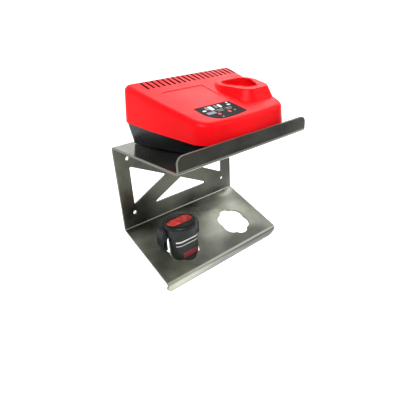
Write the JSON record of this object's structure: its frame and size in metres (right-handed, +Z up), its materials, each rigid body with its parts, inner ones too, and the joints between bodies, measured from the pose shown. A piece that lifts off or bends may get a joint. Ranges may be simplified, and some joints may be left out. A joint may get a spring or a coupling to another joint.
{
  "type": "power tool battery holder",
  "caption": "Wall holder bent from dark steel sheet, with a charger behind the lip of its upper shelf and a slim battery pack hanging in a slot of its sloping lower shelf.",
  "frame": {"origin": "on the wall face, in the middle of the four screw holes", "axes": "+X to the right as seen from the room, +Y into the wall, +Z up"},
  "size_m": [0.2, 0.138, 0.2511],
  "materials": {
    "dark_steel": "bare mill steel",
    "red_plastic": "satin",
    "black_plastic": "matte",
    "black_rubber": "matte",
    "screw_steel": "satin",
    "panel_gloss": "gloss",
    "clear_plastic": "gloss",
    "board_green": "satin",
    "core_black": "matte",
    "capacitor_sleeve": "satin",
    "raw_aluminium": "satin",
    "contact_metal": "satin",
    "cell_sleeve": "satin",
    "nickel": "satin"
  },
  "bodies": {
    "holder_body": {"holder": "dark_steel"},
    "charger": {"charger_upper_housing": "red_plastic", "charger_lower_housing": "black_plastic", "charger_feet": "black_rubber", "housing_screws": "screw_steel", "status_panel": "panel_gloss", "light_pipes": "clear_plastic", "indicator_lamps": "clear_plastic", "circuit_board": "board_green", "board_screws": "screw_steel", "transformer": "core_black", "main_capacitor": "capacitor_sleeve", "output_capacitors": "capacitor_sleeve", "heat_sink": "raw_aluminium", "well_sleeve": "red_plastic", "contact_block": "black_plastic", "charging_blades": "contact_metal", "cord_gland": "black_rubber"},
    "battery_pack": {"pack_case": "black_plastic", "pack_cap": "black_plastic", "pack_insert": "red_plastic", "pack_cells": "cell_sleeve", "cell_straps": "nickel", "pack_terminals": "contact_metal", "pack_board": "board_green", "latch_springs": "nickel"},
    "left_latch_body": {"left_latch": "black_plastic"},
    "right_latch_body": {"right_latch": "black_plastic"}
  },
  "joints": [
    {"name": "charger_lift", "type": "slide", "parent": "holder_body", "child": "charger", "axis": [0, 0, 1], "range_m": [0, 0.03]},
    {"name": "pack_lift", "type": "slide", "parent": "holder_body", "child": "battery_pack", "axis": [0, 0, 1], "range_m": [0, 0.065]},
    {"name": "left_latch_press", "type": "slide", "parent": "battery_pack", "child": "left_latch_body", "axis": [1, 0, 0], "range_m": [0, 0.002], "stiffness_N_per_m": 800, "springref_m": -0.001},
    {"name": "right_latch_press", "type": "slide", "parent": "battery_pack", "child": "right_latch_body", "axis": [-1, 0, 0], "range_m": [0, 0.002], "stiffness_N_per_m": 800, "springref_m": -0.001}
  ]
}
